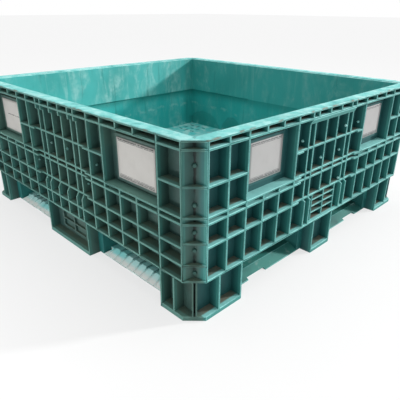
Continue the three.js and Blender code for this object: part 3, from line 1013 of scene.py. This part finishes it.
    def _gate(self, mesh: bmesh.types.BMesh, place: Vector, outward: Vector) -> None:
        """One stub, torn off unevenly.

        Args:
            mesh: Mesh that it is added to.
            place: Centre of its foot.
            outward: Direction that it points.
        """
        turn = outward.to_track_quat("Z", "Y").to_matrix().to_4x4()
        lift = Matrix.Translation((0, 0, self.gate_length / 2 - self.gate_sunk))
        made = bmesh.ops.create_cone(
            mesh, cap_ends=True, segments=10, radius1=self.gate_foot, radius2=self.gate_top,
            depth=self.gate_length, matrix=Matrix.Translation(place) @ turn @ lift,
        )
        for vert in made["verts"]:
            if (vert.co - place).dot(outward) > self.gate_length / 3:
                vert.co += outward * noise.noise(vert.co * self.gate_grain) * self.gate_torn


@dataclass
class Runners:
    """The eight bottom runners between the feet."""

    finish: RunnerFinish = RunnerFinish()
    rounding: EdgeRounding = EdgeRounding(radius=1.2 * MM)

    def build(self) -> None:
        """Builds a softened copy of each runner."""
        materials = {True: self.finish.build(True), False: self.finish.build(False)}
        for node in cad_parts:
            if not node.startswith("runner_"):
                continue
            long_wall = "_front_" in node or "_back_" in node
            mesh = merged_copy(node)
            round_edges(mesh, self.rounding)
            piece = keep_piece(mesh, f"{node}_worn", materials[long_wall])
            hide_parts(node)


@dataclass
class LabelCards:
    """The printed cards in the label recesses."""

    finish: CardFinish = CardFinish()
    greyer: CardFinish = CardFinish(paint(176, 175, 174), paint(162, 161, 160))
    corner: float = 2.5 * MM
    thick: float = 0.7 * MM
    wave: float = 0.35 * MM
    waves_per_metre: float = 9.0
    middle_print: Sequence[str] = ("label_front_a", "label_back_a")

    def build(self) -> None:
        """Builds a card in place of each plain one."""
        materials: dict[tuple[Print, int], bpy.types.Material] = {}
        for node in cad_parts:
            if not node.startswith("label_"):
                continue
            printed = Print.MIDDLE if node in self.middle_print else Print.EDGES
            low, high = (Vector(corner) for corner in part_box(node))
            size = high - low
            wide = max(size.x, size.y)
            key = (printed, round(wide / MM))
            if key not in materials:
                finish = self.finish if size.x > size.y else self.greyer
                materials[key] = finish.build(printed, wide, size.z)
            piece = keep_piece(self._card(low, high), f"{node}_card", materials[key])
            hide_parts(node)

    def _card(self, low: Vector, high: Vector) -> bmesh.types.BMesh:
        """One card with rounded corners and a slight wave.

        Args:
            low: Lowest corner of the plain card.
            high: Highest corner of the plain card.

        Returns:
            The card's mesh, with its size in metres as its UV map.
        """
        size = high - low
        centre = (low + high) / 2
        wide = max(size.x, size.y)
        axis = 1 if size.x > size.y else 0
        outward = Vector((0, 0, 0))
        outward[axis] = math.copysign(1, centre[axis])
        across = Vector((0, 0, 1)).cross(outward)
        mesh = bmesh.new()
        bmesh.ops.create_grid(mesh, x_segments=14, y_segments=10, size=0.5)
        uv = mesh.loops.layers.uv.new("UVMap")
        for vert in mesh.verts:
            vert.co.x *= wide
            vert.co.y *= size.z
        corners = [vert for vert in mesh.verts if len(vert.link_faces) == 1]
        bmesh.ops.bevel(mesh, geom=corners, offset=self.corner, affect="VERTICES", segments=3, profile=0.5,
                        material=-1)
        for face in mesh.faces:
            for loop in face.loops:
                loop[uv].uv = (loop.vert.co.x + wide / 2, loop.vert.co.y + size.z / 2)
        skin = bmesh.ops.extrude_face_region(mesh, geom=list(mesh.faces))
        lifted = {item for item in skin["geom"] if isinstance(item, bmesh.types.BMVert)}
        for vert in mesh.verts:
            flat = vert.co * self.waves_per_metre
            bow = noise.noise(Vector((flat.x, flat.y, centre.x + centre.y))) * self.wave
            vert.co.z = (self.thick if vert in lifted else 0.0) + bow + self.wave
        for face in mesh.faces:
            face.smooth = True
        back = centre - outward * (min(size.x, size.y) / 2)
        basis = Matrix((across, Vector((0, 0, 1)), outward)).transposed().to_4x4()
        bmesh.ops.transform(mesh, matrix=Matrix.Translation(back) @ basis, verts=mesh.verts)
        bmesh.ops.recalc_face_normals(mesh, faces=mesh.faces)
        return mesh


# Studio


@dataclass
class Studio:
    """Floor, lights and the camera at the photograph's viewing angle."""

    camera_place: Point = (1.2226, -1.1698, 0.7309)
    camera_yaw: float = 45.268764
    camera_pitch: float = 24.024146
    camera_roll: float = 0.319144
    camera_lens: float = 38.915
    camera_sensor: float = 36.0
    floor_reach: float = 40.0
    floor_gap: float = 0.3 * MM
    floor_colour: Colour = (0.9, 0.9, 0.9, 1.0)
    floor_white: float = 0.7
    sky: float = 0.5
    overhead_power: float = 55.0
    overhead_size: float = 3.2
    overhead_place: Point = (0.2, 0.5, 3.2)
    key_strength: float = 2.9
    key_direction: Point = (0.6, 1.0, 0.43)
    key_angle: float = 5.0
    low_power: float = 3.6
    low_place: Point = (0.05, -1.3, 0.05)
    low_length: float = 1.3
    low_height: float = 0.08

    def build(self) -> None:
        """Builds the studio round the container."""
        self._floor()
        self._world()
        self._overhead()
        self._key()
        self._low()
        self._camera()

    def _floor(self) -> None:
        """A plain pale floor that a view from below looks through."""
        mesh = bmesh.new()
        level = Matrix.Translation((0, 0, -self.floor_gap))
        bmesh.ops.create_grid(mesh, x_segments=1, y_segments=1, size=self.floor_reach, matrix=level)
        data = bpy.data.meshes.new("studio_floor")
        mesh.to_mesh(data)
        mesh.free()
        graph = ShaderGraph.material("studio_floor")
        sockets = {"Base Color": self.floor_colour, "Roughness": 0.9, "Specular IOR Level": 0.1}
        lit = graph.signal("ShaderNodeBsdfPrincipled", sockets=sockets)
        white = graph.signal("ShaderNodeEmission", sockets={"Strength": 1.0})
        share = graph.seen() * self.floor_white
        surface = graph.signal("ShaderNodeMixShader", sockets={0: share, 1: lit, 2: white})
        clear = graph.signal("ShaderNodeBsdfTransparent")
        below = graph.signal("ShaderNodeNewGeometry", output="Backfacing") * graph.seen()
        surface = graph.signal("ShaderNodeMixShader", sockets={0: below, 1: surface, 2: clear})
        graph.node("ShaderNodeOutputMaterial", sockets={"Surface": surface})
        data.materials.append(graph.owner)
        floor = bpy.data.objects.new("studio_floor", data)
        bpy.context.scene.collection.objects.link(floor)

    def _world(self) -> None:
        """Even light from all round, seen as white by the camera."""
        world = bpy.data.worlds.new("studio_world")
        bpy.context.scene.world = world
        graph = ShaderGraph(world)
        level = self.sky + graph.seen() * (1.0 - self.sky)
        sockets = {"Color": (1.0, 1.0, 1.0, 1.0), "Strength": level}
        light = graph.signal("ShaderNodeBackground", sockets=sockets)
        graph.node("ShaderNodeOutputWorld", sockets={"Surface": light})

    def _lamp(self, name: str, kind: str, power: float) -> bpy.types.Object:
        """Adds a lamp.

        Args:
            name: Name of the lamp.
            kind: Kind of light.
            power: Watts, or the strength of a sun.

        Returns:
            The lamp, at the origin.
        """
        data = bpy.data.lights.new(name, kind)
        data.energy = power
        lamp = bpy.data.objects.new(name, data)
        bpy.context.scene.collection.objects.link(lamp)
        return lamp

    def _overhead(self) -> None:
        """A large soft light above the container."""
        lamp = self._lamp("overhead", "AREA", self.overhead_power)
        lamp.data.shape = "SQUARE"
        lamp.data.size = self.overhead_size
        lamp.location = self.overhead_place

    def _key(self) -> None:
        """A soft light over the back wall, which gives the slanted shadow inside."""
        lamp = self._lamp("key", "SUN", self.key_strength)
        lamp.data.angle = math.radians(self.key_angle)
        lamp.rotation_euler = Vector(self.key_direction).to_track_quat("Z", "Y").to_euler()

    def _low(self) -> None:
        """A long low light in front of the long wall, for its runners."""
        lamp = self._lamp("low", "AREA", self.low_power)
        lamp.data.shape = "RECTANGLE"
        lamp.data.size = self.low_length
        lamp.data.size_y = self.low_height
        lamp.location = self.low_place
        lamp.rotation_euler = (math.radians(90), 0, 0)

    def _camera(self) -> None:
        """The camera, fitted to the photograph."""
        data = bpy.data.cameras.new("photo_camera")
        data.sensor_width = self.camera_sensor
        data.lens = self.camera_lens
        camera = bpy.data.objects.new("photo_camera", data)
        turn = Matrix.Rotation(math.radians(self.camera_yaw), 4, "Z")
        tip = Matrix.Rotation(math.radians(90 - self.camera_pitch), 4, "X")
        roll = Matrix.Rotation(math.radians(self.camera_roll), 4, "Z")
        camera.matrix_world = Matrix.Translation(self.camera_place) @ turn @ tip @ roll
        bpy.context.scene.collection.objects.link(camera)
        bpy.context.scene.camera = camera


def main() -> None:
    """Builds the container's looks and the studio round it."""
    logging.basicConfig(level=logging.INFO, format="%(name)s: %(message)s")
    bpy.context.scene.view_settings.view_transform = "Standard"
    Studio().build()
    for part in (TubShell(), Runners(), LabelCards()):
        part.build()


if __name__ == "__main__":
    main()
